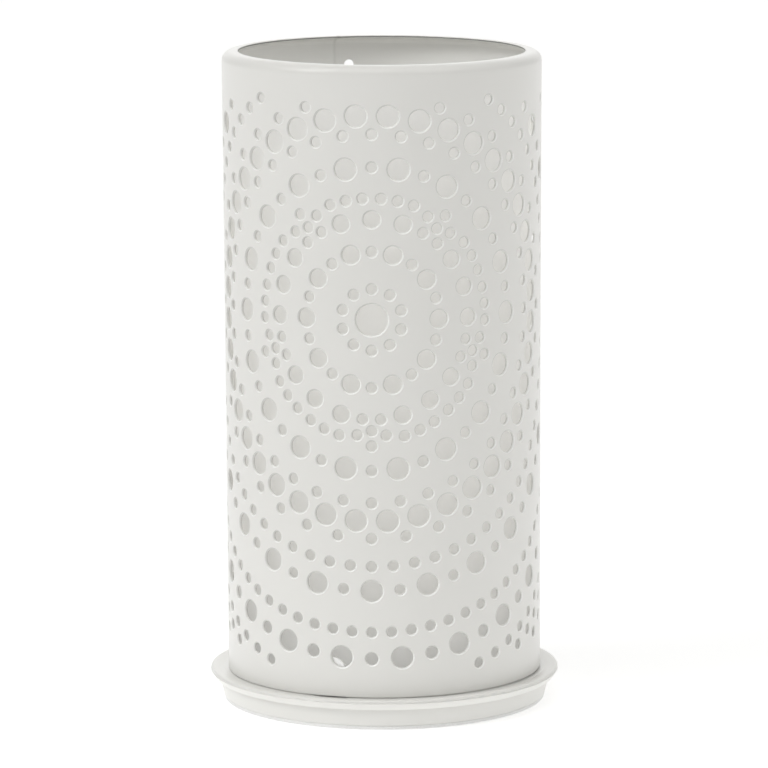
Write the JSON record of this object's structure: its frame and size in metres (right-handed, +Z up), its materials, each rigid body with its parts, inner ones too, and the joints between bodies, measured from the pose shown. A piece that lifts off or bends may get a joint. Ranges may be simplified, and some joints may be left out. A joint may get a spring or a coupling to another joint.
{
  "type": "candle holder",
  "caption": "Free-standing sheet-metal candle holder: a perforated lift-off sleeve with a rolled lip, a diffuser tube inside it, and a saucer-like base that seats a tealight.",
  "frame": {"origin": "centre of the base pad's underside, where the holder stands", "axes": "+Z up along the sleeve's axis; -Y is the front, and the front rosette faces 3.9 degrees towards -X from it"},
  "size_m": [0.075, 0.075, 0.14],
  "materials": {
    "white_paint": "satin warm white stove enamel on sheet steel",
    "frosted_diffuser": "frosted, opal white",
    "pad_foam": "matt white",
    "cup_aluminium": "thin drawn foil, satin",
    "candle_wax": "translucent off-white wax",
    "clip_steel": "tinned",
    "wick_cotton": "braided cotton, waxed"
  },
  "bodies": {
    "base": {"base_pad": "pad_foam", "foot_pan": "white_paint", "base_plate": "white_paint", "locating_lug_1": "white_paint", "locating_lug_2": "white_paint", "locating_lug_3": "white_paint"},
    "sleeve": {"perforated_sleeve": "white_paint"},
    "diffuser": {"diffuser_tube": "frosted_diffuser"},
    "tealight": {"tealight_cup": "cup_aluminium", "tealight_wax": "candle_wax", "tealight_wick_clip": "clip_steel", "tealight_wick": "wick_cotton"}
  },
  "joints": [
    {"name": "sleeve_lift", "type": "slide", "parent": "base", "child": "sleeve", "axis": [0, 0, 1], "range_m": [0, 0.13]},
    {"name": "diffuser_lift", "type": "slide", "parent": "base", "child": "diffuser", "axis": [0, 0, 1], "range_m": [0, 0.0055]},
    {"name": "tealight_lift", "type": "slide", "parent": "base", "child": "tealight", "axis": [0, 0, 1], "range_m": [0, 0.14]}
  ]
}
